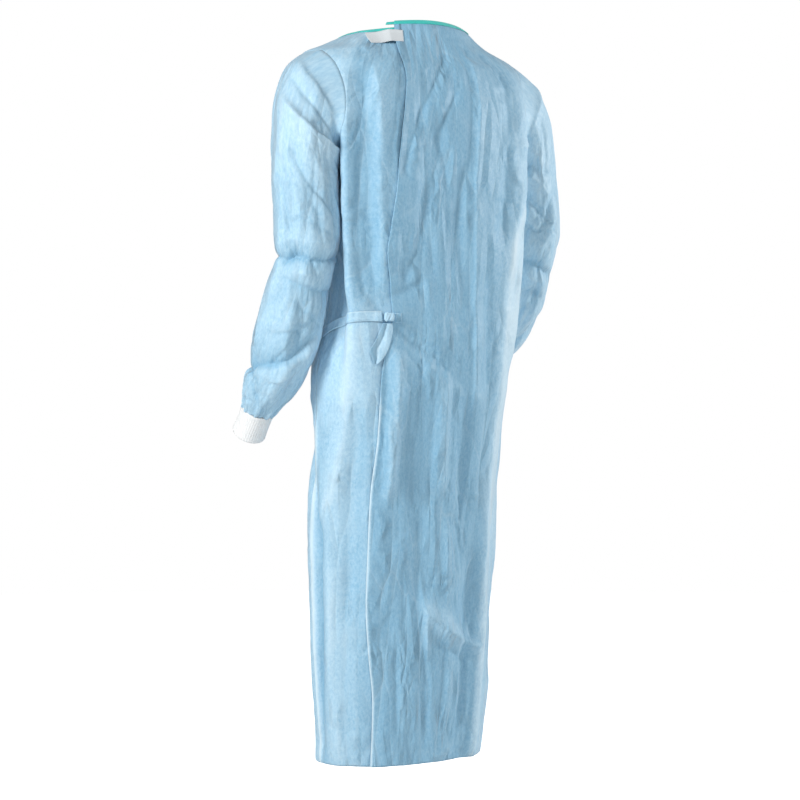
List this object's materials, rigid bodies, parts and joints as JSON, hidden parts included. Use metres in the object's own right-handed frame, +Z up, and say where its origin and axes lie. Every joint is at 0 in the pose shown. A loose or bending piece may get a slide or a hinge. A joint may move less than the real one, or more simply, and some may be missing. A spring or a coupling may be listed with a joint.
{
  "type": "surgical gown",
  "caption": "Light blue non-woven surgical gown in worn pose: wrap-over back tied at the waist, long sleeves with white knitted cuffs, green neck binding, hook and loop tab.",
  "frame": {"origin": "The middle of the neck opening at shoulder level, where the wearer's neck and shoulders hold the gown.", "axes": "+Z up, the front of the gown faces -Y, the wearer's left is +X."},
  "size_m": [0.573, 0.3605, 1.2552],
  "materials": {
    "gown_cloth": "matte non-woven",
    "cuff_knit": "ribbed knit",
    "neck_tape": "plain tape",
    "hook_and_loop": "woven pile"
  },
  "bodies": {
    "root": {"front_panel": "gown_cloth", "back_panel_left": "gown_cloth", "back_panel_right": "gown_cloth", "sleeve_left": "gown_cloth", "sleeve_right": "gown_cloth", "cuff_left": "cuff_knit", "cuff_right": "cuff_knit", "neck_binding": "neck_tape", "neck_tape_end": "neck_tape", "neck_tab": "hook_and_loop", "waist_tie_long": "gown_cloth", "waist_tie_patch": "gown_cloth", "waist_tie_knot": "gown_cloth", "waist_tie_tail": "gown_cloth"}
  },
  "joints": []
}
